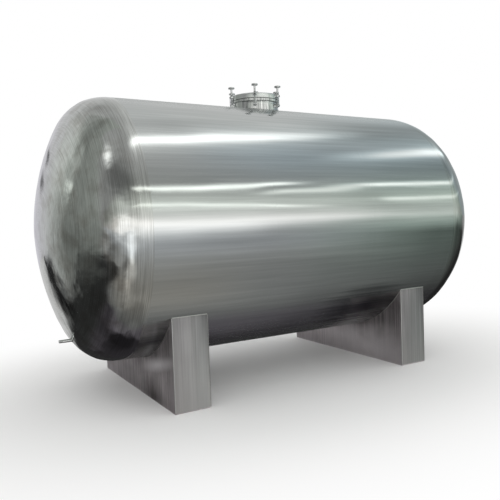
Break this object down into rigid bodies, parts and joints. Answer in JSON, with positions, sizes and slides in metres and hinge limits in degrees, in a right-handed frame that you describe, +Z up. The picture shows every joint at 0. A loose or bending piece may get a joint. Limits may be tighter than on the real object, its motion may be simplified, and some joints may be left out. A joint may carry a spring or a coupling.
{
  "type": "storage tank",
  "caption": "Horizontal stainless steel storage tank with dished heads on box saddles, a swing-bolt manway on top and a threaded outlet low in an end.",
  "frame": {"origin": "on the floor under the middle of the tank, at the bottom centre of the bounding box", "axes": "+X along the tank's axis from the outlet's end to the plain end, +Z up"},
  "size_m": [4.15, 2.2, 2.708],
  "materials": {
    "shell_plate": "buffed along the tank",
    "head_plate": "buffed in rings",
    "saddle_web_plate": "mill finish",
    "saddle_end_plate": "brushed upright",
    "manway_steel": "brushed",
    "bolt_steel": "machined",
    "knob_steel": "machined",
    "gasket_rubber": "matt",
    "outlet_steel": "brushed"
  },
  "bodies": {
    "root": {"near_course_upper": "shell_plate", "near_course_lower": "shell_plate", "middle_course_upper": "shell_plate", "middle_course_lower": "shell_plate", "far_course_upper": "shell_plate", "far_course_lower": "shell_plate", "near_head": "head_plate", "far_head": "head_plate", "near_saddle_web_outer": "saddle_web_plate", "near_saddle_web_inner": "saddle_web_plate", "near_saddle_base": "saddle_web_plate", "far_saddle_web_outer": "saddle_web_plate", "far_saddle_web_inner": "saddle_web_plate", "far_saddle_base": "saddle_web_plate", "near_saddle_end_front": "saddle_end_plate", "near_saddle_end_back": "saddle_end_plate", "far_saddle_end_front": "saddle_end_plate", "far_saddle_end_back": "saddle_end_plate", "manway_neck": "manway_steel", "manway_rim": "manway_steel", "manway_lid": "manway_steel", "lid_lugs": "manway_steel", "lid_handle": "manway_steel", "clevis_ears": "manway_steel", "clevis_pins": "bolt_steel", "bolt_washers": "bolt_steel", "swing_bolt_1": "bolt_steel", "swing_bolt_2": "bolt_steel", "swing_bolt_3": "bolt_steel", "swing_bolt_4": "bolt_steel", "swing_bolt_5": "bolt_steel", "swing_bolt_6": "bolt_steel", "hand_knob_1": "knob_steel", "hand_knob_2": "knob_steel", "hand_knob_3": "knob_steel", "hand_knob_4": "knob_steel", "hand_knob_5": "knob_steel", "hand_knob_6": "knob_steel", "manway_gasket": "gasket_rubber", "outlet_pipe": "outlet_steel"}
  },
  "joints": []
}
